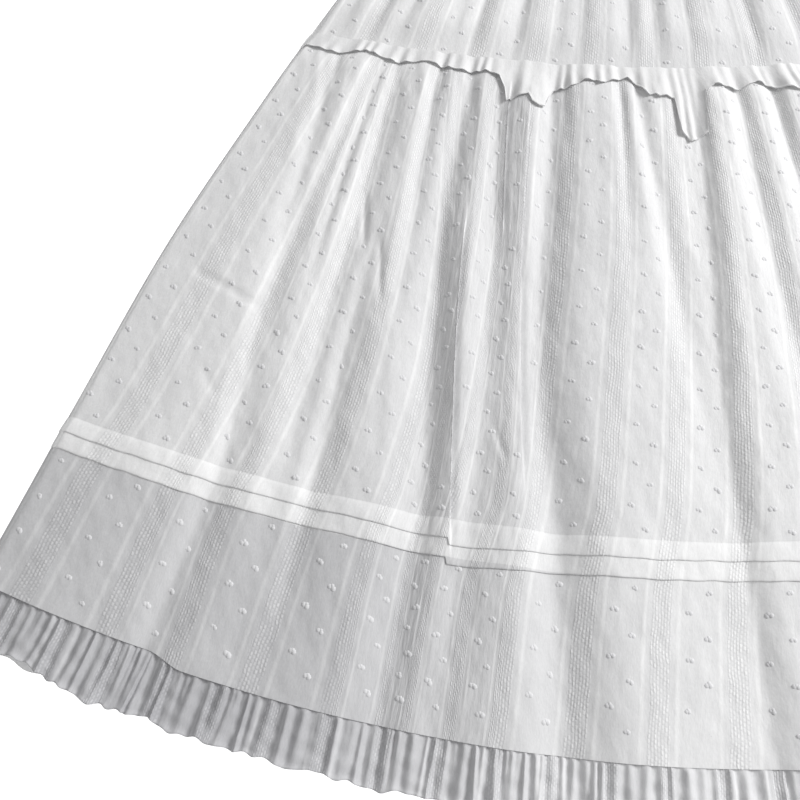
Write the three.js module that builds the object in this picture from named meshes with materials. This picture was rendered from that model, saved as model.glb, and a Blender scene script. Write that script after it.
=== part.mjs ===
// A tiered maxi skirt of white dotted cotton with an elastic waist, lying flat with its front upwards.
// Each half, front and back, is five pieces of cloth: a waistband, an upper tier gathered under it,
// a lower tier gathered under that one with two tucks sewn round it, and two gathered ruffles, one over
// the seam between the tiers and one on the hem. The back lies on the surface and the front lies on it.
// Units are millimetres. X runs across the skirt, Y runs from the hem up to the waist and Z is up.
// A level is a distance down the centre front from the top of the waist. A place across a level is given
// by its share of the way from the centre front to a side seam, from -1 on the left to 1 on the right.

import * as THREE from 'three';

// Driving sizes.
const BAND_HEIGHT = 38;
const TIER_SEAM = 348;
const TUCK_LINE = 767;
const TUCK_DEPTH = 13.6;
const TUCK_COUNT = 2;
const HEM_SEAM = 907.5;
const LENGTH = 950;
const LEVEL_RADIUS = 1266; // how the seams curve round the waist, at the centre front

const CLOTH = 1.6; // the wall of the tiers
const RUFFLE_CLOTH = 1.2;
const BAND_CLOTH = 2.4;
const TUCK_CLOTH = 1.1; // what the folded cloth of one tuck adds
const GAP = 0.3; // between pieces that are sewn together or lie on each other
const STEEPEST_WALL = 2; // how far a steep flank may thicken the wall, measured upwards
const SIDE_FALL = 8; // the width over which the front comes down to its side seam
const SIDE_LOW = 110; // the width beside a side seam over which the front lies flatter

// Half widths of the skirt as it lies, and how high its front stands between folds, from waist to hem.
const SECTIONS = table(['level', 'halfWidth', 'stand'], [
  [0, 170, 2],
  [BAND_HEIGHT, 172, 3],
  [95, 203, 9],
  [190, 250, 10],
  [TIER_SEAM, 327, 11],
  [412, 357, 12],
  [587, 432, 12],
  [755, 491.5, 11],
  [HEM_SEAM, 543.5, 9],
  [LENGTH, 560.5, 8],
]);

// The levels at which a fold of the lower tier is described, from its gathers to the hem.
const FOLD_LEVELS = [400, 520, 640, 760, 900];

// The folds of the lower tier's front, from the left side to the right. Each is a soft trough between two
// ridges: s is its share of the way across and d its depth, at the four levels above. left and right are
// the widths of its flanks at the gathers.
const LOWER_FOLDS = table(['s0', 's1', 's2', 's3', 's4', 'd0', 'd1', 'd2', 'd3', 'd4', 'left', 'right'], [
  [-0.856, -0.803, -0.775, -0.77, -0.77, 5, 4, 1, 0, 0, 12, 16],
  [-0.77, -0.768, -0.766, -0.748, -0.757, 4, 4, 5, 6, 6, 10, 22],
  [-0.745, -0.724, -0.7, -0.69, -0.69, 4, 4, 1, 0, 0, 8, 10],
  [-0.705, -0.674, -0.664, -0.658, -0.65, 8, 9, 8, 4, 1, 12, 28],
  [-0.625, -0.622, -0.617, -0.613, -0.612, 0, 1, 5, 6, 1, 9, 20],
  [-0.6, -0.568, -0.545, -0.54, -0.54, 8, 7, 1, 0, 0, 10, 16],
  [-0.522, -0.508, -0.478, -0.457, -0.463, 9, 10, 12, 12, 9, 16, 22],
  [-0.437, -0.404, -0.383, -0.385, -0.402, 7, 9, 9, 8, 6, 11, 28],
  [-0.309, -0.299, -0.289, -0.259, -0.228, 11, 12, 12, 12, 10, 14, 38],
  [-0.143, -0.137, -0.137, -0.14, -0.14, 6, 2, 0, 0, 0, 8, 12],
  [-0.095, -0.06, -0.037, 0, 0.03, 5, 6, 4, 3, 2, 12, 16],
  [0.04, 0.02, 0.003, 0, 0.005, 9, 8, 6, 4, 3, 46, 16],
  [0.15, 0.138, 0.145, 0.158, 0.17, 7, 6, 5, 4, 4, 16, 15],
  [0.24, 0.228, 0.212, 0.2, 0.2, 8, 5, 2, 0, 0, 14, 12],
  [0.335, 0.315, 0.298, 0.28, 0.262, 9, 10, 9, 8, 8, 12, 28],
  [0.43, 0.418, 0.418, 0.424, 0.43, 7, 4, 3, 3, 3, 15, 12],
  [0.52, 0.504, 0.49, 0.488, 0.492, 9, 9, 8, 8, 7, 12, 24],
  [0.612, 0.602, 0.6, 0.6, 0.6, 7, 3, 1, 0, 0, 14, 12],
  [0.69, 0.675, 0.66, 0.648, 0.64, 8, 7, 6, 4, 2, 12, 20],
  [0.785, 0.768, 0.762, 0.764, 0.77, 8, 5, 2, 0, 0, 14, 12],
  [0.868, 0.83, 0.805, 0.785, 0.772, 7, 7, 6, 5, 4, 15, 18],
]);

// The free edge of the ruffle over the tier seam, by its share across and its level: it wanders with the
// folds under it and hangs lower where its cloth is doubled.
const RUFFLE_EDGE = table(['share', 'level'], [
  [-1, 364], [-0.9, 369], [-0.82, 362], [-0.74, 368], [-0.66, 363], [-0.58, 368], [-0.5, 366],
  [-0.47, 370], [-0.44, 397], [-0.41, 393], [-0.39, 390], [-0.36, 401], [-0.344, 400], [-0.325, 379],
  [-0.285, 377], [-0.257, 370], [-0.213, 372], [-0.14, 362], [-0.09, 383], [-0.047, 383], [-0.026, 385],
  [-0.016, 421], [0, 427], [0.04, 422], [0.052, 378], [0.08, 371], [0.14, 376], [0.19, 369], [0.25, 378],
  [0.3, 384], [0.32, 373], [0.38, 369], [0.43, 391], [0.45, 376], [0.52, 370], [0.6, 382], [0.64, 371],
  [0.7, 366], [0.76, 376], [0.82, 368], [0.9, 372], [1, 365],
]);

// Gathers worked out by a loop: how many, how deep they are, and how unevenly they are spaced.
const UPPER_GATHERS = { count: 20, depth: 9, uneven: 0.24 };
const SEAM_RUFFLE = { waves: 20, top: 0.4, edge: 2.6, back: 32 };
const HEM_RUFFLE = { waves: 44, top: 0.8, edge: 3.6, scallop: 2.6 };
const BAND_RIBS = { waves: 22, height: 1.6 };

const COLOUR = { tier: 0xe9e9ea, ruffle: 0xdfdfe1, band: 0xe4e4e6 };

// A table of rows as objects with named columns.
function table(columns, rows) {
  return rows.map((row) => Object.fromEntries(columns.map((name, i) => [name, row[i]])));
}

function ease(t) {
  const s = THREE.MathUtils.clamp(t, 0, 1);
  return s * s * (3 - 2 * s);
}

// A smooth curve through values at rising places, straight on past its ends.
function curveThrough(places, values, at) {
  const last = places.length - 1;
  const slope = (i) => {
    const a = Math.max(i - 1, 0);
    const b = Math.min(i + 1, last);
    return (values[b] - values[a]) / (places[b] - places[a]);
  };
  if (at <= places[0]) return values[0] + slope(0) * (at - places[0]);
  if (at >= places[last]) return values[last] + slope(last) * (at - places[last]);
  const i = places.findIndex((place, n) => at < places[n + 1]);
  const span = places[i + 1] - places[i];
  const t = (at - places[i]) / span;
  const [a, b] = [slope(i) * span, slope(i + 1) * span];
  const rise = values[i + 1] - values[i];
  return values[i] + t * a + t * t * (3 * rise - 2 * a - b) + t * t * t * (a + b - 2 * rise);
}

const sectionLevels = SECTIONS.map((row) => row.level);
const halfWidth = (level) => curveThrough(sectionLevels, SECTIONS.map((row) => row.halfWidth), level);
const stand = (level) => curveThrough(sectionLevels, SECTIONS.map((row) => row.stand), level);

// One soft trough across: 1 at its bottom, falling to 0 at the ends of its flanks.
function trough(x, bottom, left, right) {
  const t = (x - bottom) / (x < bottom ? left : right);
  return Math.max(1 - Math.sqrt(t * t + 0.012), 0) ** (t < 0 ? 1.6 : 2.2);
}

// A height that never falls below zero and comes to it softly.
const softly = (height) => (height + Math.hypot(height, 1)) / 2;

// The cloth is held down at a gathered seam and opens out below it.
const FREED = 40;
const openBelow = (level, seam, held) => held + (1 - held) * ease((level - seam) / FREED);

// The front comes down at its side seams.
function atSides(share, level) {
  const inwards = (1 - Math.abs(share)) * halfWidth(level);
  return ease(inwards / SIDE_FALL) * (0.35 + 0.65 * ease(inwards / SIDE_LOW));
}

// Height of the lower tier's front: its stand, less the troughs that run down it.
function lowerFolds(share, level) {
  const x = share * halfWidth(level);
  const spread = halfWidth(level) / halfWidth(TIER_SEAM);
  let height = stand(level);
  for (const fold of LOWER_FOLDS) {
    const bottom = curveThrough(FOLD_LEVELS, [fold.s0, fold.s1, fold.s2, fold.s3, fold.s4], level) * halfWidth(level);
    const deep = Math.max(curveThrough(FOLD_LEVELS, [fold.d0, fold.d1, fold.d2, fold.d3, fold.d4], level), 0);
    height -= deep * trough(x, bottom, fold.left * spread, fold.right * spread);
  }
  return softly(height) * openBelow(level, TIER_SEAM, 0.35) * atSides(share, level);
}

// Height of the upper tier's front: neighbouring gathers differ, as hand-set ones do.
function upperFolds(share, level) {
  const { count, depth, uneven } = UPPER_GATHERS;
  const half = halfWidth(level);
  const pitch = (2 * half) / count;
  const fade = 1 - 0.45 * ease((level - 120) / (TIER_SEAM - 120));
  let height = stand(level);
  for (let i = 0; i < count; i += 1) {
    const bottom = -half + (i + 0.5 + uneven * Math.sin(2.4 * i + 0.6)) * pitch;
    const deep = depth * (0.72 + 0.28 * Math.sin(1.7 * i)) * fade;
    height -= deep * trough(share * half, bottom, 0.5 * pitch, 0.42 * pitch);
  }
  const closed = 1 - 0.65 * ease((level - TIER_SEAM + FREED) / FREED);
  return softly(height) * openBelow(level, BAND_HEIGHT, 0.35) * closed * atSides(share, level);
}

// Waves of a ruffle, from 0 to 1, with uneven lengths that still end flat at the side seams.
function wave(share, waves) {
  const turn = Math.PI * waves * (share + 1) + 0.9 * Math.sin(5 * share) - 0.7 * Math.sin(11 * share);
  const uneven = 0.8 + 0.2 * Math.sin(0.37 * turn + 1);
  return ((1 - Math.cos(turn)) / 2) * uneven * ease((1 - Math.abs(share)) * waves * 0.5);
}

const tuckEdges = Array.from({ length: TUCK_COUNT }, (_, i) => TUCK_LINE + (i + 1) * TUCK_DEPTH);

// What the tucks add to the outer face: cloth folded over from each sewn line down to its free edge.
function tuckHeight(level) {
  if (level <= TUCK_LINE || level >= tuckEdges[TUCK_COUNT - 1]) return 0;
  return tuckEdges.filter((edge) => edge > level).length * TUCK_CLOTH;
}

// A point of a level in plan. The levels curve as the skirt fans out from its waist.
function plan(share, level) {
  const x = share * halfWidth(level);
  return [x, (x * x) / (2 * LEVEL_RADIUS) - level];
}

const steps = (count) => Array.from({ length: count + 1 }, (_, i) => (2 * i) / count - 1);

// A closed wall between two grids of points, listed row by row from the waist down, each from left to right.
function wallOf(upper, lower) {
  const rows = upper.length;
  const columns = upper[0].length;
  const points = [...upper.flat(), ...lower.flat()];
  const under = rows * columns;
  const at = (row, column) => row * columns + column;
  const faces = [];
  const quad = (a, b, c, d) => faces.push(a, b, c, a, c, d);
  for (let r = 0; r < rows - 1; r += 1) {
    for (let c = 0; c < columns - 1; c += 1) {
      quad(at(r, c), at(r + 1, c), at(r + 1, c + 1), at(r, c + 1));
      quad(under + at(r, c), under + at(r, c + 1), under + at(r + 1, c + 1), under + at(r + 1, c));
    }
  }
  const rim = (a, b) => quad(a, b, under + b, under + a);
  for (let c = 0; c < columns - 1; c += 1) {
    rim(at(0, c), at(0, c + 1));
    rim(at(rows - 1, c + 1), at(rows - 1, c));
  }
  for (let r = 0; r < rows - 1; r += 1) {
    rim(at(r + 1, 0), at(r, 0));
    rim(at(r, columns - 1), at(r + 1, columns - 1));
  }
  const geometry = new THREE.BufferGeometry();
  geometry.setAttribute('position', new THREE.Float32BufferAttribute(points.flat(), 3));
  geometry.setIndex(faces);
  return geometry;
}

function cloth(name, colour, geometry) {
  const material = new THREE.MeshStandardMaterial({ color: colour, roughness: 0.9, metalness: 0 });
  const mesh = new THREE.Mesh(geometry, material);
  mesh.name = name;
  return mesh;
}

// The share by which a wall on a slope is thicker upwards than it is through the cloth.
function slant(heights, row, column, xs) {
  const a = Math.max(column - 1, 0);
  const b = Math.min(column + 1, heights[row].length - 1);
  const slope = (heights[row][b] - heights[row][a]) / (xs[row][b] - xs[row][a]);
  return Math.min(Math.hypot(1, slope), STEEPEST_WALL);
}

// A front piece: surface gives the outer height of the cloth over the plain wall, add what lies on its
// outer face, edge how far its lowest row dips, and floor the height that its inner face stays above.
function frontPiece({ shares, levels, thickness, surface, add = () => 0, edge = () => 0, floor }) {
  const low = floor + GAP + thickness;
  const heights = levels.map((level) => shares.map((share) => low + surface(share, level)));
  const xs = levels.map((level) => shares.map((share) => share * halfWidth(level)));
  const dip = (r, c) => (r === levels.length - 1 ? edge(shares[c]) : 0);
  const point = (r, c, z) => [...plan(shares[c], levels[r] + dip(r, c)), z];
  const upper = heights.map((row, r) => row.map((z, c) => point(r, c, z + add(levels[r]))));
  const lower = heights.map((row, r) => row.map(
    (z, c) => point(r, c, Math.max(z - thickness * slant(heights, r, c, xs), floor + GAP))));
  return { upper, geometry: wallOf(upper, lower) };
}

// A back piece: a flat wall on the surface, or raised over what lies under it.
function backPiece({ shares, levels, thickness, raise = () => 0, edge = () => 0 }) {
  const grid = (extra) => levels.map((level, r) => shares.map((share) => [
    ...plan(share, level + (r === levels.length - 1 ? edge(share) : 0)), raise(level) + extra]));
  return wallOf(grid(thickness), grid(0));
}

// Lower tier. Rows stand close together where a tuck's free edge drops. Its back lies over the back of
// the seam ruffle, so the front of the tier stays above both.
const underRuffle = RUFFLE_CLOTH + GAP;
const TUCK_DROP = 0.5;
const lowerLevels = [
  TIER_SEAM, TIER_SEAM + 13, TIER_SEAM + 26, TIER_SEAM + 42, TIER_SEAM + 74, 470, 530, 600, 680,
  TUCK_LINE, TUCK_LINE + TUCK_DROP, ...tuckEdges.flatMap((edge) => [edge - TUCK_DROP, edge]),
  845, HEM_SEAM - GAP,
];
const lowerShares = steps(96);
const lowerFront = frontPiece({
  shares: lowerShares,
  levels: lowerLevels,
  thickness: CLOTH,
  surface: lowerFolds,
  add: tuckHeight,
  floor: underRuffle + CLOTH,
});
const ruffleEnd = TIER_SEAM + SEAM_RUFFLE.back + 6;
const lowerBack = backPiece({
  shares: steps(24),
  levels: [TIER_SEAM, ruffleEnd, ruffleEnd + 40, 640, HEM_SEAM - GAP],
  thickness: CLOTH,
  raise: (level) => (level > ruffleEnd ? 0 : underRuffle),
});

// Upper tier, from the waistband to the tier seam.
const upperFront = frontPiece({
  shares: steps(72),
  levels: [BAND_HEIGHT + GAP, 58, 84, 150, 240, TIER_SEAM - FREED, TIER_SEAM - GAP],
  thickness: CLOTH,
  surface: upperFolds,
  floor: CLOTH,
});
const upperBack = backPiece({
  shares: steps(16),
  levels: [BAND_HEIGHT + GAP, 95, 190, TIER_SEAM - GAP],
  thickness: CLOTH,
});

// Seam ruffle. The front one is made from the lower tier's own points, moved out, so that it lies on them.
const ruffleLevel = (share) => {
  const i = Math.max(RUFFLE_EDGE.findIndex((row) => share <= row.share), 1);
  const [a, b] = [RUFFLE_EDGE[i - 1], RUFFLE_EDGE[i]];
  return THREE.MathUtils.lerp(a.level, b.level, (share - a.share) / (b.share - a.share));
};
function seamRuffleFront() {
  const clearance = 1.1;
  const onTier = (column, level) => {
    const r = lowerLevels.findIndex((_, n) => level < lowerLevels[n + 1]);
    const t = (level - lowerLevels[r]) / (lowerLevels[r + 1] - lowerLevels[r]);
    const [a, b] = [lowerFront.upper[r][column], lowerFront.upper[r + 1][column]];
    return a.map((value, axis) => THREE.MathUtils.lerp(value, b[axis], t));
  };
  const grid = (thick) => [0, 0.25, 0.5, 0.75, 1].map((down) => lowerShares.map((share, column) => {
    const [x, y, z] = onTier(column, TIER_SEAM + down * (ruffleLevel(share) - TIER_SEAM));
    const rise = THREE.MathUtils.lerp(SEAM_RUFFLE.top, SEAM_RUFFLE.edge, down) * wave(share, SEAM_RUFFLE.waves);
    return [x, y, z + clearance + rise + thick];
  }));
  return wallOf(grid(RUFFLE_CLOTH), grid(0));
}
const seamRuffleBack = backPiece({
  shares: steps(40),
  levels: [TIER_SEAM, TIER_SEAM + SEAM_RUFFLE.back],
  thickness: RUFFLE_CLOTH,
  edge: (share) => 3 * Math.sin(0.5 * Math.PI * SEAM_RUFFLE.waves * share + 2),
});

// Hem ruffle. The folds of the tier run on into it, and its own waves grow towards the free edge.
const ruffleEdge = (share) => HEM_RUFFLE.scallop * atSides(share, LENGTH)
  * Math.sin(0.5 * Math.PI * HEM_RUFFLE.waves * (share + 1) + 2 * Math.sin(4 * share));
const hemRuffleFront = frontPiece({
  shares: steps(HEM_RUFFLE.waves * 5),
  levels: [HEM_SEAM, HEM_SEAM + 14, HEM_SEAM + 28, LENGTH],
  thickness: RUFFLE_CLOTH,
  surface: (share, level) => {
    const down = (level - HEM_SEAM) / (LENGTH - HEM_SEAM);
    const tall = THREE.MathUtils.lerp(HEM_RUFFLE.top, HEM_RUFFLE.edge, down);
    return 0.8 * lowerFolds(share, level) + tall * wave(share, HEM_RUFFLE.waves);
  },
  edge: ruffleEdge,
  floor: RUFFLE_CLOTH,
});
const hemRuffleBack = backPiece({
  shares: steps(88),
  levels: [HEM_SEAM, LENGTH],
  thickness: RUFFLE_CLOTH,
  edge: (share) => 0.7 * ruffleEdge(-share),
});

// Waistband: a casing that its elastic draws into ribs.
const bandFront = frontPiece({
  shares: steps(BAND_RIBS.waves * 3),
  levels: [0, 6, BAND_HEIGHT - 6, BAND_HEIGHT],
  thickness: BAND_CLOTH,
  surface: (share, level) => BAND_RIBS.height * ease(Math.min(level, BAND_HEIGHT - level) / 6)
    * wave(share, BAND_RIBS.waves),
  floor: BAND_CLOTH,
});
const bandBack = backPiece({
  shares: steps(12),
  levels: [0, BAND_HEIGHT],
  thickness: BAND_CLOTH,
});

const skirt = new THREE.Group();
skirt.add(
  cloth('waistband_front', COLOUR.band, bandFront.geometry),
  cloth('waistband_back', COLOUR.band, bandBack),
  cloth('upper_tier_front', COLOUR.tier, upperFront.geometry),
  cloth('upper_tier_back', COLOUR.tier, upperBack),
  cloth('seam_ruffle_front', COLOUR.ruffle, seamRuffleFront()),
  cloth('seam_ruffle_back', COLOUR.ruffle, seamRuffleBack),
  cloth('lower_tier_front', COLOUR.tier, lowerFront.geometry),
  cloth('lower_tier_back', COLOUR.tier, lowerBack),
  cloth('hem_ruffle_front', COLOUR.ruffle, hemRuffleFront.geometry),
  cloth('hem_ruffle_back', COLOUR.ruffle, hemRuffleBack),
);

// The skirt stands on its underside, centred over the origin.
const box = new THREE.Box3().setFromObject(skirt);
const middle = box.getCenter(new THREE.Vector3());
skirt.position.set(-middle.x, -middle.y, -box.min.z);

export default skirt;
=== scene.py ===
# A tiered maxi skirt of white dotted and striped cotton, lying flat with its front upwards. Positions are
# in metres in the model's own frame: X across the skirt, Y up it from the hem to the waist, Z up. Sizes on
# the cloth are in millimetres until a point is made. A level is a distance down the centre front from the
# top of the waist, and a share is a place across it, from -1 at the left side seam to 1 at the right one.

import math

import bpy
import numpy as np
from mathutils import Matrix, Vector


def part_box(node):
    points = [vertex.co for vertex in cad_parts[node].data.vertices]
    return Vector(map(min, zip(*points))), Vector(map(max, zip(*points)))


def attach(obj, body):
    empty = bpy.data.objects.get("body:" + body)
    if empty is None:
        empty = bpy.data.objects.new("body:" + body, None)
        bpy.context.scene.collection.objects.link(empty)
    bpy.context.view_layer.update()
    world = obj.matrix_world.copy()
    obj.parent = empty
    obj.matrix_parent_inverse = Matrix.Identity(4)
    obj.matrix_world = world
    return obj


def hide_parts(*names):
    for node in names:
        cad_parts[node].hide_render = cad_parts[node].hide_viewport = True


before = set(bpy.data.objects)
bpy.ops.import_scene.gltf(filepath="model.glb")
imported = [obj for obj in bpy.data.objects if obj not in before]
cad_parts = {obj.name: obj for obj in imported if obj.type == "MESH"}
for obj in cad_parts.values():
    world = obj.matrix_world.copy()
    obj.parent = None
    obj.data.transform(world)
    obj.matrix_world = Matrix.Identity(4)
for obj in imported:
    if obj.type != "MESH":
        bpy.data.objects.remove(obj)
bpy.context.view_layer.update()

# Camera. It stands on the hem side of the lower left quarter and looks down and a little towards the
# waist, so the cloth near the hem is larger than the cloth near the top of the view.
LOOKED_AT = (-0.245, -0.1889, 0.010)
CAMERA_TILT = 20.0
CAMERA_AWAY = 0.6224

camera_data = bpy.data.cameras.new("camera")
camera_data.lens = 37.35
camera_data.sensor_width = 36.0
camera_data.clip_start = 0.02
camera = bpy.data.objects.new("camera", camera_data)
bpy.context.scene.collection.objects.link(camera)
camera.rotation_euler = (math.radians(CAMERA_TILT), 0.0, 0.0)
camera.location = (
    LOOKED_AT[0],
    LOOKED_AT[1] - CAMERA_AWAY * math.sin(math.radians(CAMERA_TILT)),
    LOOKED_AT[2] + CAMERA_AWAY * math.cos(math.radians(CAMERA_TILT)),
)
bpy.context.scene.camera = camera

# Lower tier, front. One length of cotton voile, gathered into the seam above it and left to fall in soft
# folds, with two half-inch tucks pressed downwards. The cloth is woven with stripes: a textured band
# between two satin lines, and a plain ground between bands with two staggered rows of clipped dots.
BAND_HEIGHT = 38.0
TIER_SEAM = 348.0
TUCK_LINE = 767.0
TUCK_DEPTH = 13.6
HEM_SEAM = 907.5
LENGTH = 950.0
LEVEL_RADIUS = 1266.0
STRIPE_REPEAT = 55.0
DOT_PITCH = 31.0
CELL_WIDTH = 2.3
CELL_LENGTH = 3.1
DOT_COLUMNS = (20.5, 34.5)
SATIN_LINE_AT = 12.4
TUCK_WHITER = 0.20
# Painted shade below the tucks, towards the left seam.
BELOW_TUCKS_PAINTED_SHADE = -0.44
# Painted shade across the middle of the skirt.
MIDDLE_PAINTED_SHADE = -0.20

SECTIONS = {
    "level": [0, 38, 95, 190, 348, 412, 587, 755, 907.5, 950],
    "half_width": [170, 172, 203, 250, 327, 357, 432, 491.5, 543.5, 560.5],
    "stand": [2, 3, 9, 10, 11, 12, 12, 11, 9, 8],
}

# The fold tables give a trough's darkest line, which lies this many mm to the right of its bottom.
DARKEST_AWAY = 5.0

# How rounded a trough's bottom is, its share of the table's depth, and how its two flanks steepen.
TROUGH_ROUNDING = 0.050
TROUGH_DEPTH = 0.82
LEFT_STEEPNESS = 1.6
RIGHT_STEEPNESS = 2.0

# Levels at which a fold is described, then the folds from the left seam to the right: the share where the
# trough is darkest and how deep it is in mm at those levels, and its left and right flanks in mm.
FOLD_LEVELS = [400.0, 520.0, 640.0, 760.0, 900.0]
FOLDS = [
    # shares, depths, left flank, right flank
    ((-0.856, -0.803, -0.775, -0.770, -0.770), (5, 4, 1, 0, 0), 12, 16),
    ((-0.770, -0.768, -0.766, -0.748, -0.757), (4, 4, 5, 6, 6), 10, 22),
    ((-0.745, -0.724, -0.700, -0.690, -0.690), (4, 4, 1, 0, 0), 8, 10),
    ((-0.705, -0.674, -0.664, -0.658, -0.650), (8, 9, 8, 4, 1), 14, 28),
    ((-0.625, -0.622, -0.617, -0.613, -0.612), (0, 1, 5, 6, 1), 9, 20),
    ((-0.600, -0.568, -0.545, -0.540, -0.540), (8, 7, 1, 0, 0), 10, 16),
    ((-0.522, -0.508, -0.478, -0.457, -0.463), (9, 10, 12, 12, 10), 22, 20),
    ((-0.437, -0.404, -0.383, -0.385, -0.402), (7, 9, 9, 8, 6), 17, 28),
    ((-0.309, -0.303, -0.297, -0.264, -0.246), (11, 12, 12, 12, 11), 20, 27),
    ((-0.143, -0.137, -0.137, -0.140, -0.140), (6, 2, 0, 0, 0), 8, 12),
    ((-0.095, -0.060, -0.037, 0.000, 0.030), (5, 5, 2, 0, 0), 12, 16),
    ((0.040, 0.020, 0.003, 0.000, 0.005), (9, 9, 9, 8, 7), 60, 16),
    ((0.150, 0.138, 0.145, 0.158, 0.170), (7, 6, 5, 4, 4), 16, 15),
    ((0.240, 0.228, 0.212, 0.200, 0.200), (8, 5, 2, 0, 0), 14, 12),
    ((0.335, 0.315, 0.298, 0.280, 0.262), (9, 10, 9, 8, 8), 12, 28),
    ((0.430, 0.418, 0.418, 0.424, 0.430), (7, 4, 3, 3, 3), 15, 12),
    ((0.520, 0.504, 0.490, 0.488, 0.492), (9, 9, 8, 8, 7), 12, 24),
    ((0.612, 0.602, 0.600, 0.600, 0.600), (7, 3, 1, 0, 0), 14, 12),
    ((0.690, 0.675, 0.660, 0.648, 0.640), (8, 7, 6, 4, 2), 12, 20),
    ((0.785, 0.768, 0.762, 0.764, 0.770), (8, 5, 2, 0, 0), 14, 12),
    ((0.868, 0.830, 0.805, 0.785, 0.772), (7, 7, 6, 5, 4), 15, 18),
]

# Crisp edges where the cloth on the left is folded over the cloth on its right.
OVERLAPS = [
    # level_from, level_to, share_from, share_to, step
    (500.0, 800.0, -0.479, -0.415, 2.0),
    (370.0, 530.0, -0.440, -0.396, 2.0),
    (380.0, 750.0, -0.385, -0.319, 1.2),
    (470.0, 800.0, 0.455, 0.440, 2.2),
]

# Short creases across the folds: where each starts and ends as (share, level), its depth and half width.
CREASES = [
    ((-0.939, 614.0), (-0.776, 635.0), 2.2, 2.6),
    ((-0.151, 602.0), (-0.062, 582.0), 1.2, 2.2),
    ((-0.689, 501.0), (-0.648, 563.0), 2.0, 2.8),
    ((-0.628, 544.0), (-0.590, 613.0), 1.4, 2.4),
    ((-0.846, 691.0), (-0.789, 721.0), 1.0, 3.0),
    ((0.300, 520.0), (0.380, 505.0), 1.3, 2.4),
    ((0.620, 610.0), (0.760, 640.0), 1.3, 2.2),
    ((-0.375, 691.0), (-0.347, 722.0), 0.9, 2.0),
]

# The middle of each woven stripe, as a share, at six levels. The tucks take up cloth between 745 and 800.
STRIPE_LEVELS = [430.0, 530.0, 640.0, 745.0, 800.0, 890.0]
STRIPES = [
    (-1.005, -1.006, -1.015, -1.024, -1.042, -1.052),
    (-0.884, -0.887, -0.894, -0.909, -0.925, -0.932),
    (-0.778, -0.768, -0.774, -0.796, -0.810, -0.816),
    (-0.718, -0.692, -0.691, -0.711, -0.730, -0.733),
    (-0.613, -0.596, -0.590, -0.605, -0.621, -0.634),
    (-0.554, -0.507, -0.488, -0.505, -0.524, -0.532),
    (-0.472, -0.458, -0.455, -0.454, -0.468, -0.472),
    (-0.428, -0.402, -0.403, -0.420, -0.437, -0.445),
    (-0.376, -0.362, -0.356, -0.355, -0.382, -0.390),
    (-0.283, -0.285, -0.295, -0.307, -0.326, -0.337),
    (-0.157, -0.163, -0.183, -0.203, -0.226, -0.240),
    (-0.040, -0.052, -0.077, -0.102, -0.126, -0.143),
    (0.054, 0.046, 0.027, 0.000, -0.023, -0.042),
    (0.152, 0.146, 0.127, 0.105, 0.085, 0.070),
    (0.236, 0.235, 0.224, 0.210, 0.195, 0.185),
    (0.315, 0.328, 0.325, 0.315, 0.300, 0.290),
    (0.395, 0.410, 0.410, 0.405, 0.400, 0.395),
    (0.470, 0.496, 0.502, 0.500, 0.495, 0.495),
    (0.550, 0.580, 0.592, 0.600, 0.600, 0.600),
    (0.635, 0.664, 0.685, 0.700, 0.700, 0.705),
    (0.722, 0.756, 0.778, 0.795, 0.800, 0.805),
    (0.812, 0.849, 0.870, 0.888, 0.900, 0.905),
    (0.905, 0.943, 0.966, 0.985, 1.000, 1.005),
    (1.000, 1.038, 1.061, 1.080, 1.100, 1.105),
]


def curve(places, values, at):
    """A smooth curve through values at rising places, straight on past its ends."""
    places = np.asarray(places, float)
    values = np.asarray(values, float)
    at = np.asarray(at, float)
    last = len(places) - 1
    before = np.maximum(np.arange(last + 1) - 1, 0)
    after = np.minimum(np.arange(last + 1) + 1, last)
    slope = (values[after] - values[before]) / (places[after] - places[before])
    i = np.clip(np.searchsorted(places, at, side="right") - 1, 0, last - 1)
    span = places[i + 1] - places[i]
    t = (at - places[i]) / span
    a = slope[i] * span
    b = slope[i + 1] * span
    rise = values[i + 1] - values[i]
    inside = values[i] + t * a + t**2 * (3 * rise - 2 * a - b) + t**3 * (a + b - 2 * rise)
    low = values[0] + slope[0] * (at - places[0])
    high = values[last] + slope[last] * (at - places[last])
    return np.where(at < places[0], low, np.where(at > places[last], high, inside))


def half_width(level):
    return curve(SECTIONS["level"], SECTIONS["half_width"], level)


def stand(level):
    return curve(SECTIONS["level"], SECTIONS["stand"], level)


def ease(t):
    s = np.clip(t, 0.0, 1.0)
    return s * s * (3 - 2 * s)


def trough(x, bottom, left, right):
    """1 at the bottom of a trough, falling to 0 at the ends of its flanks, steepest near the bottom."""
    t = (x - bottom) / np.where(x < bottom, left, right)
    near = np.maximum(1.0 - np.sqrt(t * t + TROUGH_ROUNDING), 0.0) / (1.0 - math.sqrt(TROUGH_ROUNDING))
    return TROUGH_DEPTH * near ** np.where(t < 0, LEFT_STEEPNESS, RIGHT_STEEPNESS)


def softly(height):
    return (height + np.hypot(height, 1.0)) / 2


def open_below(level, seam, held, freed=40.0):
    return held + (1 - held) * ease((level - seam) / freed)


def at_sides(share, level, width=8.0):
    """The front comes down at its side seams, and lies flatter beside them."""
    inwards = (1 - np.abs(share)) * half_width(level)
    return ease(inwards / width) * (0.62 + 0.38 * ease(inwards / 75))


def wander(x, y, size, seed):
    """A smooth uneven field between -1 and 1, made of a few crossing waves."""
    rng = np.random.default_rng(seed)
    total = 0.0
    for _ in range(5):
        turn = rng.uniform(0, math.tau)
        pace = math.tau / size * rng.uniform(0.6, 1.5)
        total = total + np.sin(pace * (x * math.cos(turn) + y * math.sin(turn)) + rng.uniform(0, math.tau))
    return total / 3.2


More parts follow.
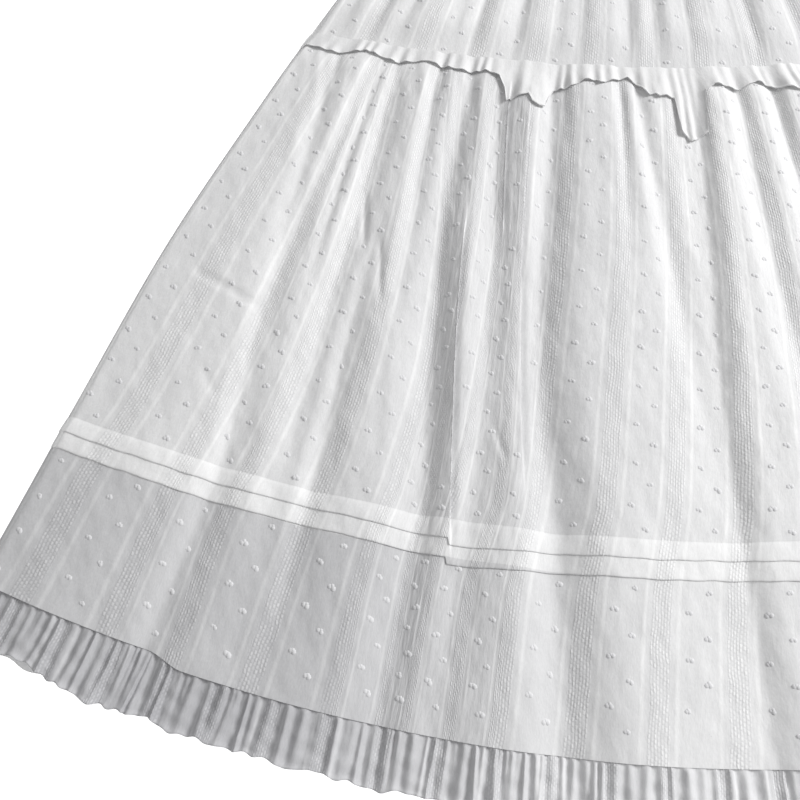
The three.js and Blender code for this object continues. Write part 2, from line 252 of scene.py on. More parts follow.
def lower_height(share, level):
    """Height in mm of the lower tier's front above where it would lie flat."""
    half = half_width(level)
    x = share * half
    spread = half / 323.0
    height = stand(level)
    for shares, depths, left, right in FOLDS:
        bottom = curve(FOLD_LEVELS, shares, level) * half - DARKEST_AWAY
        deep = np.maximum(curve(FOLD_LEVELS, depths, level), 0)
        height = height - deep * trough(x, bottom, left * spread, right * spread)
    height = softly(height)
    for start, end, share_from, share_to, step in OVERLAPS:
        t = (level - start) / (end - start)
        edge = (share_from + (share_to - share_from) * t) * half
        along = ease(t * 5) * ease((1 - t) * 6)
        behind = np.clip((x - edge + 16) / 16, 0, 1) ** 1.5
        height = height + step * along * behind * ease((edge - x) / 1.6 + 1)
        height = height - 2.0 * along * ease((x - edge) / 1.4) * (1 - ease((x - edge - 1.4) / 4.5))
    for (sa, la), (sb, lb), deep, wide in CREASES:
        ax, ay = sa * half_width(la), la
        bx, by = sb * half_width(lb), lb
        long = math.hypot(bx - ax, by - ay)
        t = ((x - ax) * (bx - ax) + (level - ay) * (by - ay)) / long**2
        away = np.abs((x - ax) * (by - ay) - (level - ay) * (bx - ax)) / long
        height = height - deep * np.exp(-((away / wide) ** 2)) * ease(t * 4) * ease((1 - t) * 4)
    puckers = 0.5 + 0.5 * np.sin(x * 0.42 + 2.2 * np.sin(x * 0.061) + 0.01 * level)
    held = np.exp(-np.maximum(level - TIER_SEAM - 20, 0) / 46.0)
    height = height + 1.0 * puckers * held
    height = height + 0.55 * wander(x, level, 60.0, 3) + 0.22 * wander(x, level, 19.0, 5)
    return height * open_below(level, TIER_SEAM, 0.35) * at_sides(share, level)


def base_height(share, level, middle):
    """Height in mm at which a front lies over its back: middle, and less at its side seams."""
    return middle * (0.3 + 0.7 * at_sides(share, level, 10.0))


def lapped(share, level):
    """The share at which a point is drawn: past a folded-over edge the cloth turns back under it."""
    half = half_width(level)
    x = share * half
    back = 0.0 * x
    for start, end, share_from, share_to, _ in OVERLAPS:
        t = (level - start) / (end - start)
        past = x - (share_from + (share_to - share_from) * t) * half
        along = ease(t * 5) * ease((1 - t) * 6)
        back = back + 2.6 * along * ease((past + 0.6) / 2.0) * (1 - ease((past - 1.4) / 6.0))
    return (x - back) / half


def stripe_shares(level):
    """The share of every stripe's middle at one level."""
    return np.array([float(curve(STRIPE_LEVELS, row, level)) for row in STRIPES])


def woven_across(share, level):
    """Where on the cloth, in mm across its stripes, a row of shares falls at one level."""
    middles = stripe_shares(level)
    index = np.arange(len(middles))
    return np.interp(share, middles, index * STRIPE_REPEAT)


waist_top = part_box("waistband_back")[1].y * 1000 - 170.0**2 / (2 * LEVEL_RADIUS)


def point(share, level, z):
    """Points in metres from shares, levels and heights in mm."""
    share, level, z = np.broadcast_arrays(share, level, z)
    x = share * half_width(level)
    y = waist_top + x * x / (2 * LEVEL_RADIUS) - level
    return np.stack([x, y, z], -1) / 1000


def sheet_mesh(name, points, across, down):
    """A sheet of cloth as one grid of points, with its place on the woven cloth in mm as its UV map."""
    rows, columns = points.shape[:2]
    corner = (np.arange(rows - 1)[:, None] * columns + np.arange(columns - 1)[None, :]).ravel()
    faces = np.stack([corner, corner + columns, corner + columns + 1, corner + 1], -1)
    mesh = bpy.data.meshes.new(name)
    mesh.vertices.add(rows * columns)
    mesh.vertices.foreach_set("co", points.reshape(-1).astype(np.float32))
    mesh.loops.add(faces.size)
    mesh.loops.foreach_set("vertex_index", faces.ravel().astype(np.int32))
    mesh.polygons.add(len(faces))
    mesh.polygons.foreach_set("loop_start", np.arange(0, faces.size, 4, dtype=np.int32))
    mesh.update(calc_edges=True)
    mesh.polygons.foreach_set("use_smooth", np.ones(len(faces), dtype=bool))
    place = np.stack([across.ravel(), down.ravel()], -1)[faces.ravel()]
    mesh.uv_layers.new(name="Weave").data.foreach_set("uv", place.ravel().astype(np.float32))
    mesh.validate()
    thing = bpy.data.objects.new(name, mesh)
    bpy.context.scene.collection.objects.link(thing)
    return thing


def colour(hexcode):
    """An sRGB hex colour as linear values, opaque."""
    channels = [int(hexcode[i : i + 2], 16) / 255 for i in (1, 3, 5)]
    return tuple(c / 12.92 if c <= 0.04045 else ((c + 0.055) / 1.055) ** 2.4 for c in channels) + (1.0,)


def add_node(material, kind, links=None, **settings):
    """Adds a node to a material: settings by name, socket values by number, and links into its sockets."""
    node = material.node_tree.nodes.new(kind)
    for key, value in settings.items():
        if key.startswith("in_"):
            node.inputs[int(key[3:])].default_value = value
        else:
            setattr(node, key, value)
    for socket, source in (links or {}).items():
        material.node_tree.links.new(source, node.inputs[socket])
    return node


def maths(material, operation, first, second=0.0, third=None):
    """One sum on two or three values, each a number or another node's output."""
    node = material.node_tree.nodes.new("ShaderNodeMath")
    node.operation = operation
    for i, value in enumerate([first, second] + ([] if third is None else [third])):
        if isinstance(value, (int, float)):
            node.inputs[i].default_value = value
        else:
            material.node_tree.links.new(value, node.inputs[i])
    return node.outputs[0]


def voile(name, light, dark, striped, glow):
    """White cotton voile. light and dark are the tones of its satin lines and of its plain ground."""
    material = bpy.data.materials.new(name)
    material.use_nodes = True
    nodes = material.node_tree.nodes
    link = material.node_tree.links.new
    shader = nodes["Principled BSDF"]
    shader.inputs["Roughness"].default_value = 0.85
    shader.inputs["Specular IOR Level"].default_value = 0.18
    shader.inputs["Sheen Weight"].default_value = 0.12
    shader.inputs["Sheen Roughness"].default_value = 0.5
    place = add_node(material, "ShaderNodeUVMap", uv_map="Weave")
    split = add_node(material, "ShaderNodeSeparateXYZ", {0: place.outputs[0]})
    across, down = split.outputs[0], split.outputs[1]
    # The yarns: fine, a little uneven, and closer than the eye parts at arm's length.
    yarns = add_node(material, "ShaderNodeMapping", {0: place.outputs[0]}, in_3=(0.9, 0.35, 1.0))
    slubs = add_node(material, "ShaderNodeTexNoise", {0: yarns.outputs[0]}, in_2=1.0, in_3=3.0)
    cloudy = add_node(material, "ShaderNodeTexNoise", {0: place.outputs[0]}, in_2=0.035, in_3=3.0)
    # Soft crumples left from washing, longer down the cloth than across it.
    stretched = add_node(material, "ShaderNodeMapping", {0: place.outputs[0]}, in_3=(0.075, 0.038, 1.0))
    crumples = add_node(material, "ShaderNodeTexNoise", {0: stretched.outputs[0]}, in_2=1.0, in_3=4.0)
    ground = maths(material, "MULTIPLY_ADD", slubs.outputs[0], 0.30, 0.53)
    height = maths(material, "MULTIPLY", slubs.outputs[0], 0.10)
    height = maths(material, "MULTIPLY_ADD", crumples.outputs[0], 1.5, height)
    if striped:
        offset = maths(material, "PINGPONG", across, STRIPE_REPEAT / 2)
        # Away from a stripe's middle: the textured band reaches 7 mm, and a satin line lies at 12.4 mm.
        band = add_node(material, "ShaderNodeMapRange", {0: offset}, in_1=7.8, in_2=6.8).outputs[0]
        from_line = maths(material, "ABSOLUTE", maths(material, "SUBTRACT", offset, SATIN_LINE_AT))
        line = add_node(material, "ShaderNodeMapRange", {0: from_line}, in_1=2.2, in_2=0.5).outputs[0]
        lustre = maths(material, "MULTIPLY_ADD", crumples.outputs[0], 1.4, 0.3)
        line = maths(material, "MULTIPLY", line, lustre)
        # The band is made of small cells in columns, each column half a cell on from its neighbour. In each
        # cell the weft floats over the warp as one bright dash, and no two dashes are quite alike.
        wobble = maths(material, "MULTIPLY", cloudy.outputs[0], 5.0)
        column = maths(material, "DIVIDE", maths(material, "ADD", across, wobble), CELL_WIDTH)
        column_number = maths(material, "FLOOR", column)
        odd = maths(material, "MODULO", column_number, 2.0)
        row = maths(material, "DIVIDE", maths(material, "ADD", down, wobble), CELL_LENGTH)
        row = maths(material, "MULTIPLY_ADD", odd, 0.5, row)
        row_number = maths(material, "FLOOR", row)
        which = add_node(material, "ShaderNodeCombineXYZ", {0: column_number, 1: row_number})
        chance = add_node(material, "ShaderNodeTexWhiteNoise", {0: which.outputs[0]}, noise_dimensions="2D")
        unlike = maths(material, "MULTIPLY_ADD", chance.outputs[0], 0.9, 0.35)
        wide = maths(material, "MULTIPLY", maths(material, "FRACT", column), math.pi)
        wide = maths(material, "SINE", wide)
        long = maths(material, "MULTIPLY", maths(material, "FRACT", row), math.pi)
        long = maths(material, "SINE", long)
        wide = maths(material, "POWER", wide, 1.5)
        long = maths(material, "POWER", long, 0.6)
        dash = maths(material, "MULTIPLY", wide, long)
        cell = maths(material, "MULTIPLY", dash, unlike)
        texture = maths(material, "MULTIPLY", cell, band)
        height = maths(material, "MULTIPLY_ADD", texture, 0.25, height)
        height = maths(material, "MULTIPLY_ADD", line, 0.09, height)
        tone = maths(material, "MULTIPLY_ADD", texture, 0.36, ground)
        tone = maths(material, "MULTIPLY_ADD", line, 0.22, tone)
        tone = maths(material, "MULTIPLY_ADD", band, -0.15, tone)
        # Three layers of voile in a tuck hide what lies under them, so a tuck is whiter.
        into = maths(material, "SUBTRACT", down, TUCK_LINE)
        in_tuck = maths(material, "COMPARE", into, TUCK_DEPTH, TUCK_DEPTH)
        tone = maths(material, "MULTIPLY_ADD", in_tuck, TUCK_WHITER, tone)
        # Below the tucks, and more towards the left seam, the cloth is painted darker: painted shade for
        # the light that falls off towards the lower left.
        foot = TUCK_LINE + 27
        below = add_node(material, "ShaderNodeMapRange", {0: down}, in_1=foot, in_2=foot + 1)
        leftwards = add_node(material, "ShaderNodeMapRange", {0: across}, in_1=560.0, in_2=200.0)
        low_left_painted_shade = maths(material, "MULTIPLY", below.outputs[0], leftwards.outputs[0])
        tone = maths(material, "MULTIPLY_ADD", low_left_painted_shade, BELOW_TUCKS_PAINTED_SHADE, tone)
        # Across the middle of the skirt the cloth is painted darker: painted shade for the deeper shading
        # of its folds there.
        middle_shade_rising = add_node(material, "ShaderNodeMapRange", {0: across}, in_1=150.0, in_2=270.0)
        middle_shade_falling = add_node(material, "ShaderNodeMapRange", {0: across}, in_1=630.0, in_2=530.0)
        middle_painted_shade = maths(material, "MULTIPLY", middle_shade_rising.outputs[0], middle_shade_falling.outputs[0])
        tone = maths(material, "MULTIPLY_ADD", middle_painted_shade, MIDDLE_PAINTED_SHADE, tone)
    else:
        tone = ground
    tone = maths(material, "MULTIPLY_ADD", cloudy.outputs[0], 0.24, maths(material, "SUBTRACT", tone, 0.12))
    ramp = add_node(material, "ShaderNodeValToRGB", {0: tone})
    ramp.color_ramp.elements[0].position = 0.0
    ramp.color_ramp.elements[0].color = colour(dark)
    ramp.color_ramp.elements[1].position = 1.0
    ramp.color_ramp.elements[1].color = colour(light)
    link(ramp.outputs[0], shader.inputs["Base Color"])
    bump = add_node(material, "ShaderNodeBump", {"Height": height})
    bump.inputs["Strength"].default_value = 0.9
    bump.inputs["Distance"].default_value = 0.001
    link(bump.outputs[0], shader.inputs["Normal"])
    # Thin cotton lets some light through from its other side.
    through = add_node(material, "ShaderNodeBsdfTranslucent", {0: ramp.outputs[0], 1: bump.outputs[0]})
    mixed = add_node(material, "ShaderNodeMixShader", {1: shader.outputs[0], 2: through.outputs[0]})
    mixed.inputs[0].default_value = glow
    link(mixed.outputs[0], nodes["Material Output"].inputs["Surface"])
    return material


# Matte and white, faintly see-through, with lustrous stripes that catch the light.
voile_tier = voile("bleached cotton voile, striped and dotted", "#f6f6f6", "#c4c4c6", True, 0.10)

# The rows of the tier run down to a tuck's sewn line, out along the tuck, back under it and on, so each
# tuck is folded out of the same cloth.
edge_one = TUCK_LINE + TUCK_DEPTH
edge_two = edge_one + TUCK_DEPTH
tier_rows = [(level, 0.0) for level in np.linspace(TIER_SEAM, TUCK_LINE - 0.4, 112)]
tier_rows += [(TUCK_LINE, 0.0), (TUCK_LINE + 1.2, 0.35), (TUCK_LINE + 3, 0.75), (TUCK_LINE + 5, 1.05)]
tier_rows += [(TUCK_LINE + 7, 1.3), (TUCK_LINE + 9, 1.5), (TUCK_LINE + 11, 1.65), (edge_one - 1.2, 1.75)]
tier_rows += [(edge_one - 0.3, 1.75), (edge_one, 1.35), (edge_one - 0.3, 1.0), (edge_one - 2.5, 0.95)]
tier_rows += [(level, 0.95) for level in np.linspace(edge_one + 0.4, edge_two - 1.2, 9)]
tier_rows += [(edge_two - 0.3, 0.85), (edge_two, 0.55), (edge_two - 0.3, 0.2), (edge_two - 2.5, 0.1)]
tier_rows += [(level, 0.0) for level in np.linspace(edge_two + 0.8, HEM_SEAM, 32)]
tier_levels = np.array([row[0] for row in tier_rows])[:, None]
tier_raised = np.array([row[1] for row in tier_rows])[:, None]
tier_shares = np.interp(np.linspace(0, 1, 561), [0, 0.28, 0.54, 0.75, 1], [-1, -0.50, -0.31, 0.06, 1])
tier_shares = tier_shares[None, :]
TIER_BASE = 4.6

tuck_wave = 0.9 * wander(tier_shares * 500, 0 * tier_shares, 90.0, 11)
tuck_wave = tuck_wave + 0.3 * wander(tier_shares * 500, 0 * tier_shares, 22.0, 13)
in_tucks = ease((tier_levels - TUCK_LINE) / 12) * ease((edge_two + 14 - tier_levels) / 12)
# Where the cloth is folded over itself, the tucks under the fold run on a little lower.
under_fold = 5.0 * ease((tier_shares + 0.4225) / 0.003) * (1 - ease((tier_shares + 0.418) / 0.25))
wavy_levels = tier_levels + (tuck_wave + under_fold) * in_tucks
heights = base_height(tier_shares, wavy_levels, TIER_BASE)
heights = heights + lower_height(tier_shares, wavy_levels) + tier_raised
seam_wave = 6.0 * ease((tier_shares + 0.765) / 0.05) * ease((tier_levels - 850.0) / 50.0)
wavy_levels = wavy_levels + seam_wave
points = point(lapped(tier_shares, wavy_levels), wavy_levels, heights)
across = np.stack([woven_across(tier_shares[0], level) for level in tier_levels[:, 0]])
down = np.broadcast_to(wavy_levels, across.shape)
lower_front = sheet_mesh("lower_tier_cloth_front", points, across, down)
lower_front.data.materials.append(voile_tier)
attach(lower_front, "root")
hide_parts("lower_tier_front")

# Clipped dots of the lower tier. Each is a tuft of soft cotton yarn woven in, floated and cut, so it stands
# up a little from the voile with two frayed ends.
# Dull and fuzzy, painted a shade darker than the voile round it: painted shade for the shadow in and round
# each tuft, so each dot reads as a small soft lump.
tuft_yarn = bpy.data.materials.new("soft cotton yarn, clipped")
tuft_yarn.use_nodes = True
tuft_shader = tuft_yarn.node_tree.nodes["Principled BSDF"]
tuft_shader.inputs["Roughness"].default_value = 0.95
tuft_shader.inputs["Specular IOR Level"].default_value = 0.1
tuft_fibres = add_node(tuft_yarn, "ShaderNodeTexNoise", in_2=1600.0, in_3=2.0)
tuft_painted_shade_ramp = add_node(tuft_yarn, "ShaderNodeValToRGB", {0: tuft_fibres.outputs[0]})
# Painted shade: the tufts' tones sit below the voile's.
tuft_painted_shade_ramp.color_ramp.elements[0].color = colour("#cacacc")
tuft_painted_shade_ramp.color_ramp.elements[1].color = colour("#e6e6e7")
tuft_yarn.node_tree.links.new(tuft_painted_shade_ramp.outputs[0], tuft_shader.inputs["Base Color"])

TUFT_LOBES = [
    # along, aside, up, half length, half width, half height
    (-1.1, 0.25, 0.0, 2.0, 2.0, 0.75),
    (1.2, -0.25, 0.0, 2.0, 2.1, 0.85),
    (0.2, 0.9, 0.0, 1.6, 1.6, 0.80),
]


def tufts(name, spots):
    """Dots at spots, each (centre, direction along the weft, direction out of the cloth, turn, size)."""
    ring = [(math.cos(a), math.sin(a)) for a in np.linspace(0, math.tau, 7)[:-1]]
    shape = [(0.0, 0.0, 1.0)]
    shape += [(0.75 * c, 0.75 * s, 0.66) for c, s in ring]
    shape += [(c, s, -0.1) for c, s in ring]
    shape = np.array(shape)
    faces = [(0, 1 + i, 1 + (i + 1) % 6) for i in range(6)]
    faces += [(1 + i, 7 + i, 7 + (i + 1) % 6, 1 + (i + 1) % 6) for i in range(6)]
    rng = np.random.default_rng(len(spots))
    vertices = []
    polygons = []
    for centre, weft, out, turn, size in spots:
        warp = np.cross(out, weft)
        along = math.cos(turn) * weft + math.sin(turn) * warp
        aside = np.cross(out, along)
        for a, b, c, long, wide, tall in TUFT_LOBES:
            start = len(vertices)
            a, b = (a, b) + rng.uniform(-0.3, 0.3, 2)
            for px, py, pz in shape:
                offset = (a + px * long) * along + (b + py * wide) * aside + (c - 0.3 + pz * tall) * out
                vertices.append(centre + offset * size / 1000)
            polygons += [tuple(start + i for i in face) for face in faces]
    mesh = bpy.data.meshes.new(name)
    mesh.from_pydata([tuple(v) for v in vertices], [], polygons)
    mesh.polygons.foreach_set("use_smooth", np.ones(len(polygons), dtype=bool))
    thing = bpy.data.objects.new(name, mesh)
    bpy.context.scene.collection.objects.link(thing)
    thing.data.materials.append(tuft_yarn)
    return thing


def near_a_lap(share, level):
    """Whether a place on the lower tier is hidden by, or rides on, a folded-over edge."""
    for start, end, share_from, share_to, _ in OVERLAPS:
        t = (level - start) / (end - start)
        edge = share_from + (share_to - share_from) * t
        if 0 < t < 1 and -4 < (share - edge) * half_width(level) < 9:
            return True
    return False


def spots_on(surface, level_from, level_to, seed, shares_at=stripe_shares, offset=0.0):
    """Where the dots fall on a surface between two levels: two staggered rows in each plain ground."""
    rng = np.random.default_rng(seed)
    found = []
    for stripe in range(len(shares_at(level_from)) - 1):
        for column, where in enumerate(DOT_COLUMNS):
            level = offset + column * DOT_PITCH / 2
            while level < level_to:
                at = level + rng.uniform(-1.2, 1.2)
                turn = rng.uniform(-0.35, 0.35)
                size = rng.uniform(0.85, 1.15)
                level += DOT_PITCH
                if at < level_from:
                    continue
                middles = shares_at(at)
                part = (where + rng.uniform(-0.6, 0.6)) / STRIPE_REPEAT
                share = middles[stripe] + (middles[stripe + 1] - middles[stripe]) * part
                if abs(share) > 0.985 or near_a_lap(share, at):
                    continue
                here = surface(share, at)
                weft = surface(share + 0.004, at) - here
                warp = surface(share, at - 2.0) - here
                weft = weft / np.linalg.norm(weft)
                out = np.cross(weft, warp)
                out = out / np.linalg.norm(out)
                found.append((here, weft, out, turn, size))
    return found


def lower_surface(share, level):
    base = base_height(share, level, TIER_BASE)
    raised = 0.0
    if TUCK_LINE + 1 < level < edge_one:
        raised = 1.9
    elif edge_one <= level < edge_two:
        raised = 0.95
    return point(share, level, base + lower_height(share, level) + raised)


lower_dots = tufts(
    "lower_tier_dots",
    spots_on(lower_surface, TIER_SEAM + 8, TUCK_LINE - 3, 21)
    + spots_on(lower_surface, edge_two + 4, HEM_SEAM - 3, 22, offset=11.0)
    + spots_on(lower_surface, TUCK_LINE + 3, edge_one - 3, 23, offset=6.0),
)
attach(lower_dots, "root")
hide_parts("lower_tier_front")

# Seam ruffle, front. A narrow strip of the same voile, gathered on the seam between the tiers, with a
# narrow rolled hem. It lies over the top of the lower tier, so its edge follows the tier's folds.
RUFFLE_EDGE = [
    # share, level
    (-1.000, 364), (-0.900, 369), (-0.820, 362), (-0.740, 368), (-0.660, 363), (-0.580, 368), (-0.500, 366),
    (-0.470, 370), (-0.450, 384), (-0.440, 398), (-0.430, 395), (-0.410, 393), (-0.390, 390), (-0.378, 398),
    (-0.360, 401), (-0.344, 400), (-0.338, 389), (-0.327, 379), (-0.313, 378), (-0.285, 377), (-0.257, 370),
    (-0.223, 369), (-0.213, 373), (-0.203, 371), (-0.173, 366), (-0.140, 361), (-0.110, 372), (-0.090, 383),
    (-0.075, 382), (-0.067, 385), (-0.047, 383), (-0.026, 385), (-0.022, 405), (-0.018, 421), (-0.007, 423),
    (0.000, 429), (0.020, 425), (0.040, 422), (0.046, 400), (0.052, 378), (0.080, 371), (0.140, 376),
    (0.190, 369), (0.250, 378), (0.300, 384), (0.320, 373), (0.380, 369), (0.430, 391), (0.450, 376),
    (0.520, 370), (0.600, 382), (0.640, 371), (0.700, 366), (0.760, 376), (0.820, 368), (0.900, 372),
    (1.000, 365),
]
# The plain part of the same voile: matte, soft and a little creased.
voile_ruffle = voile("bleached cotton voile, plain ground", "#f6f6f6", "#c6c6c8", False, 0.12)
ruffle_shares = np.linspace(-1, 1, 1201)[None, :]
edge_levels = np.interp(ruffle_shares, [e[0] for e in RUFFLE_EDGE], [e[1] for e in RUFFLE_EDGE])
down_ruffle = np.concatenate([np.linspace(0, 0.93, 20), [0.96, 0.985, 1.0, 1.0, 0.985]])[:, None]
rolled = np.concatenate([np.zeros(20), [0.35, 0.75, 0.5, -0.1, -0.3]])[:, None]
ruffle_levels = TIER_SEAM + (edge_levels - TIER_SEAM) * down_ruffle
uneven = 2.6 * np.sin(ruffle_shares * 23) + 1.3 * np.sin(ruffle_shares * 61)
gather = 0.5 + 0.5 * np.sin(ruffle_shares * 150 + uneven)
lift = 1.3 + (0.7 + 1.3 * down_ruffle) * gather * at_sides(ruffle_shares, ruffle_levels)
base = base_height(ruffle_shares, ruffle_levels, TIER_BASE)
heights = base + lower_height(ruffle_shares, ruffle_levels) + lift + rolled
points = point(ruffle_shares, ruffle_levels, heights)
seam_front = sheet_mesh(
    "seam_ruffle_cloth_front",
    points,
    np.broadcast_to(ruffle_shares * 400, ruffle_levels.shape),
    ruffle_levels,
)
seam_front.data.materials.append(voile_ruffle)
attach(seam_front, "root")
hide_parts("seam_ruffle_front")

# Upper tier, front. One shorter length of the same striped and dotted voile, gathered under the waistband
# and sewn to the lower tier at its foot, so its folds are closer and end in the seam.
UPPER_COUNT = 20
UPPER_CUT = 720.0
UPPER_BASE = 3.0


def upper_height(share, level):
    half = half_width(level)
    pitch = 2 * half / UPPER_COUNT
    fade = 1 - 0.45 * ease((level - 120) / (TIER_SEAM - 120))
    height = stand(level)
    for i in range(UPPER_COUNT):
        bottom = -half + (i + 0.5 + 0.24 * math.sin(2.4 * i + 0.6)) * pitch
        deep = 9 * (0.72 + 0.28 * math.sin(1.7 * i)) * fade
        height = height - deep * trough(share * half, bottom, 0.6 * pitch, 0.5 * pitch)
    height = softly(height)
    puckers = 0.5 + 0.5 * np.sin(share * 190 + 2.0 * np.sin(share * 31))
    height = height + 1.8 * puckers * np.exp(-np.maximum(level - BAND_HEIGHT, 0) / 50.0)
    height = height + 0.3 * wander(share * half, level, 50.0, 8)
    closed = 1 - 0.65 * ease((level - TIER_SEAM + 40) / 40)
    return height * open_below(level, BAND_HEIGHT, 0.35) * closed * at_sides(share, level)


def upper_surface(share, level):
    base = base_height(share, level, UPPER_BASE)
    return point(share, level, base + upper_height(share, level))


def upper_stripes(_):
    """The share of every stripe's middle on the upper tier, which is the same at every level."""
    return np.arange(0.0, UPPER_CUT + 1, STRIPE_REPEAT) / (UPPER_CUT / 2) - 1


upper_levels = np.linspace(BAND_HEIGHT, TIER_SEAM, 90)[:, None]
upper_shares = np.linspace(-1, 1, 401)[None, :]
upper_front = sheet_mesh(
    "upper_tier_cloth_front",
    upper_surface(upper_shares, upper_levels),
    np.broadcast_to((upper_shares + 1) * UPPER_CUT / 2, (90, 401)),
    np.broadcast_to(upper_levels, (90, 401)),
)
upper_front.data.materials.append(voile_tier)
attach(upper_front, "root")
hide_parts("upper_tier_front")
upper_spots = spots_on(upper_surface, BAND_HEIGHT + 10, TIER_SEAM - 4, 24, upper_stripes)
upper_dots = tufts("upper_tier_dots", upper_spots)
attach(upper_dots, "root")
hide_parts("upper_tier_front")

# Hem ruffle, front. A strip of the voile gathered on to the foot of the lower tier, so it springs into
# small uneven waves that open towards a narrow rolled hem.
# The striped voile again, painted darker: painted shade for the shade that a single gathered layer casts on
# itself.
voile_hem_painted_shade = voile("bleached cotton voile, gathered", "#ececed", "#adadb0", True, 0.10)
HEM_CUT = 1650.0
HEM_HALF = 545.0
rng = np.random.default_rng(7)
hem_shares = np.interp(np.linspace(0, 1, 1701), [0, 0.62, 1], [-1, -0.25, 1])[None, :]
hem_down = np.concatenate([np.linspace(0, 0.94, 22), [0.965, 0.985, 1.0, 1.0, 0.985]])[:, None]
hem_roll = np.concatenate([np.zeros(22), [0.4, 0.8, 0.5, -0.1, -0.3]])[:, None]
ruffle_waves = np.zeros_like(hem_shares * hem_down)
place = -1.0
while place < 1.0:
    wide = rng.uniform(2.6, 7.0) / HEM_HALF
    tall = rng.uniform(2.5, 5.6)
    lean = rng.uniform(-0.5, 0.5) * wide
    middle = place + wide + lean * hem_down
    start = rng.uniform(0.30, 0.60)
    t = (hem_shares - middle) / (wide * (0.6 + 0.5 * hem_down))
    ruffle_waves = ruffle_waves + tall * (start + (1 - start) * hem_down) * np.exp(-((t * 1.35) ** 2))
    place += 2 * wide * rng.uniform(0.7, 1.05)
uneven = 4.0 * np.sin(hem_shares * 97) + 3.0 * np.sin(hem_shares * 41)
gathered = 0.5 + 0.5 * np.sin(hem_shares * 470 + uneven)
gathered = gathered * (0.6 + 0.5 * wander(hem_shares * HEM_HALF, hem_down * 8, 60.0, 37))
ruffle_waves = ruffle_waves - 1.7 * gathered * (1 - hem_down) ** 1.1
rumpled = wander(hem_shares * HEM_HALF, hem_down * 42, 13.0, 31)
ruffle_waves = ruffle_waves + 0.9 * rumpled * (0.3 + 0.7 * hem_down)
# One wide fold laps over the cloth on its right, as the strip was gathered too full there.
lap_share = -0.7605 - 0.004 * hem_down
past_lap = (hem_shares - lap_share) * HEM_HALF
lap = np.clip((past_lap + 16) / 16, 0, 1) * (1 - ease(past_lap / 1.2))
dip = ease(past_lap / 1.2) * np.exp(-np.maximum(past_lap, 0) / 9.0)
ruffle_waves = ruffle_waves + (2.4 * lap - 2.0 * dip) * hem_down**0.4
# Under the lower tier's edge the seam holds the gathers down, so they stay below its cloth.
ruffle_waves = np.where(hem_down < 0.06, np.minimum(ruffle_waves, 0.5), ruffle_waves)
edge_wave = 1.8 * wander(hem_shares * 540, 0 * hem_shares, 34.0, 17)
edge_wave = edge_wave + 1.3 * wander(hem_shares * 540, 0 * hem_shares, 13.0, 19)
edge_wave = edge_wave - 7.0 * np.exp(-(((hem_shares + 0.905) / 0.032) ** 2))
hem_drop = LENGTH - HEM_SEAM + 1.5 + edge_wave * at_sides(hem_shares, LENGTH)
hem_starts = HEM_SEAM - 2.0 + 6.0 * ease((hem_shares + 0.765) / 0.05)
hem_levels = hem_starts + (hem_drop + HEM_SEAM - hem_starts) * hem_down
seam_height = TIER_BASE - 1.0 + lower_height(hem_shares, hem_starts + 0 * hem_down)
edge_height = 2.4 + 0.6 * lower_height(hem_shares, hem_levels)
heights = seam_height + (edge_height - seam_height) * hem_down**0.8
heights = 0.6 + (heights - 0.6) * (0.25 + 0.75 * at_sides(hem_shares, hem_levels, 10.0))
heights = heights + ruffle_waves * at_sides(hem_shares, hem_levels) + hem_roll
points = point(hem_shares, hem_levels, heights)
hem_front = sheet_mesh(
    "hem_ruffle_cloth_front",
    points,
    np.broadcast_to((1 + hem_shares) * HEM_CUT / 2, hem_levels.shape),
    hem_levels,
)
hem_front.data.materials.append(voile_hem_painted_shade)
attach(hem_front, "root")
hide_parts("hem_ruffle_front")

# Waistband, front and back. A casing of the same cotton round a wide elastic, which draws it into ribs.
# The plain voile stretched over elastic: whiter, as it is backed and lets no light through.
voile_band = voile("bleached cotton voile over elastic", "#f4f4f5", "#d0d0d2", False, 0.05)
band_rows = np.array([0.0, 0.6, 2.0, 5.0, 8.0, 14.0, 20.0, 26.0, 31.0, 34.0, 36.5, BAND_HEIGHT])[:, None]
band_shares = np.linspace(-1, 1, 481)[None, :]
ribs = 0.5 + 0.5 * np.sin(band_shares * 140 + 1.5 * np.sin(band_shares * 37))
inside_band = ease(np.minimum(band_rows, BAND_HEIGHT - band_rows) / 6)
band_height = 3.0 + (0.6 + 1.6 * ribs) * inside_band
band_height = band_height * (0.25 + 0.75 * at_sides(band_shares, band_rows, 4.0))
band_points = point(band_shares, band_rows, band_height)
band_front = sheet_mesh(
    "waistband_cloth_front",
    band_points,
    np.broadcast_to(band_shares * 300, band_height.shape),
    np.broadcast_to(band_rows, band_height.shape),
)
band_front.data.materials.append(voile_band)
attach(band_front, "root")
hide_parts("waistband_front")


def back_sheet(name, level_from, level_to, rows, columns, z, node, material, edge=0.0):
    """A back piece, flat on the surface under its front."""
    shares = np.linspace(-1, 1, columns)[None, :]
    levels = np.linspace(level_from, level_to, rows)[:, None]
    t = (levels - level_from) / (level_to - level_from)
    levels = levels + edge * t**6 * wander(shares * 540, 0 * shares, 34.0, 29)
    heights = z + 0 * shares * levels
    thing = sheet_mesh(
        name,
        point(shares, levels, heights),
        np.broadcast_to((shares + 1.02) / 2.04 * (len(STRIPES) - 1) * STRIPE_REPEAT, heights.shape),
        levels + 0 * shares,
    )
    thing.data.materials.append(material)
    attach(thing, "root")
    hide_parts(node)
    return thing


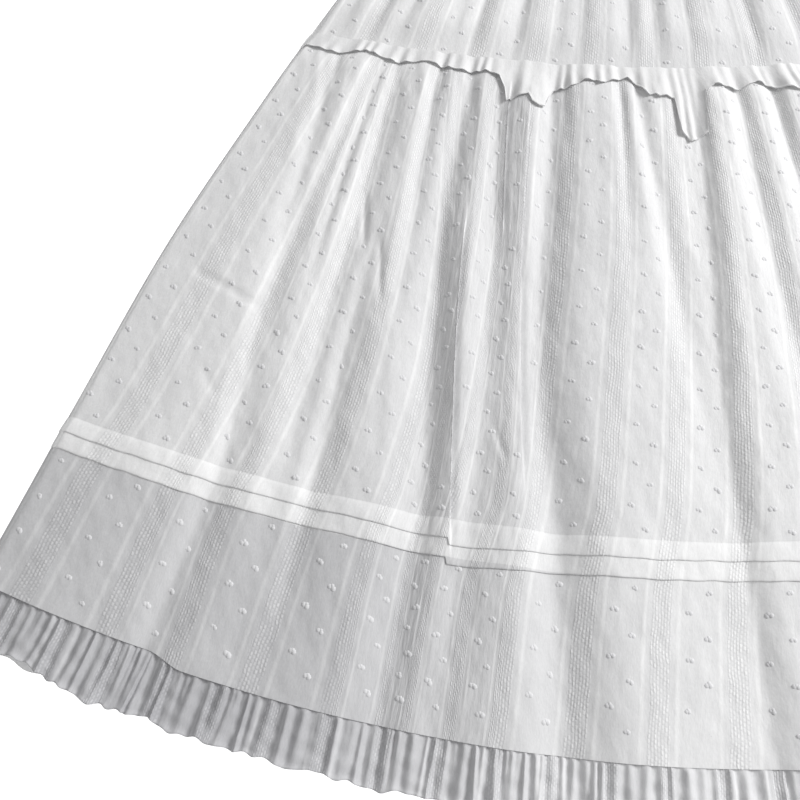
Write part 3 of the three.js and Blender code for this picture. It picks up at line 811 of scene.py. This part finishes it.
# Backs. The same pieces again, lying flat on the surface with the fronts on them.
back_sheet(
    "waistband_cloth_back", 0, BAND_HEIGHT, 6, 61, 0.6,
    "waistband_back", voile_band,
)
back_sheet(
    "upper_tier_cloth_back", BAND_HEIGHT, TIER_SEAM, 20, 81, 0.6,
    "upper_tier_back", voile_tier,
)
back_sheet(
    "seam_ruffle_cloth_back", TIER_SEAM, 383, 6, 161, 0.4,
    "seam_ruffle_back", voile_ruffle, 3.0,
)
back_sheet(
    "lower_tier_cloth_back", TIER_SEAM, HEM_SEAM, 30, 101, 1.0,
    "lower_tier_back", voile_tier,
)
back_sheet(
    "hem_ruffle_cloth_back", HEM_SEAM, LENGTH - 1, 10, 401, 0.6,
    "hem_ruffle_back", voile_ruffle, 2.4,
)

# The surface that it lies on: smooth white card, larger than the skirt.
bpy.ops.mesh.primitive_plane_add(size=6.0, location=(0, 0, 0))
floor = bpy.context.active_object
floor.name = "floor"
# It is dead matt and lit to pure white, so the skirt alone shows.
card = bpy.data.materials.new("white card")
card.use_nodes = True
card_shader = card.node_tree.nodes["Principled BSDF"]
card_shader.inputs["Base Color"].default_value = colour("#ffffff")
card_shader.inputs["Roughness"].default_value = 0.9
card_shader.inputs["Emission Color"].default_value = colour("#ffffff")
card_shader.inputs["Emission Strength"].default_value = 0.9
floor.data.materials.append(card)

# Light. A broad soft light from the waist side and the right, and an even white sky that fills the folds.
def area_light(name, place, aim, size, power):
    data = bpy.data.lights.new(name, "AREA")
    data.shape = "DISK"
    data.size = size
    data.energy = power
    lamp = bpy.data.objects.new(name, data)
    bpy.context.scene.collection.objects.link(lamp)
    lamp.location = place
    way = np.array(aim) - np.array(place)
    flat = math.hypot(way[0], way[1])
    lamp.rotation_euler = (math.atan2(flat, -way[2]), 0.0, math.atan2(way[1], way[0]) - math.pi / 2)
    return lamp


area_light("window", (2.14, 0.62, 1.80), (-0.2, -0.2, 0.0), 1.30, 92.0)
world = bpy.data.worlds.new("sky")
bpy.context.scene.world = world
world.use_nodes = True
world.node_tree.nodes["Background"].inputs["Color"].default_value = colour("#ffffff")
world.node_tree.nodes["Background"].inputs["Strength"].default_value = 0.42
bpy.context.scene.view_settings.view_transform = "Standard"
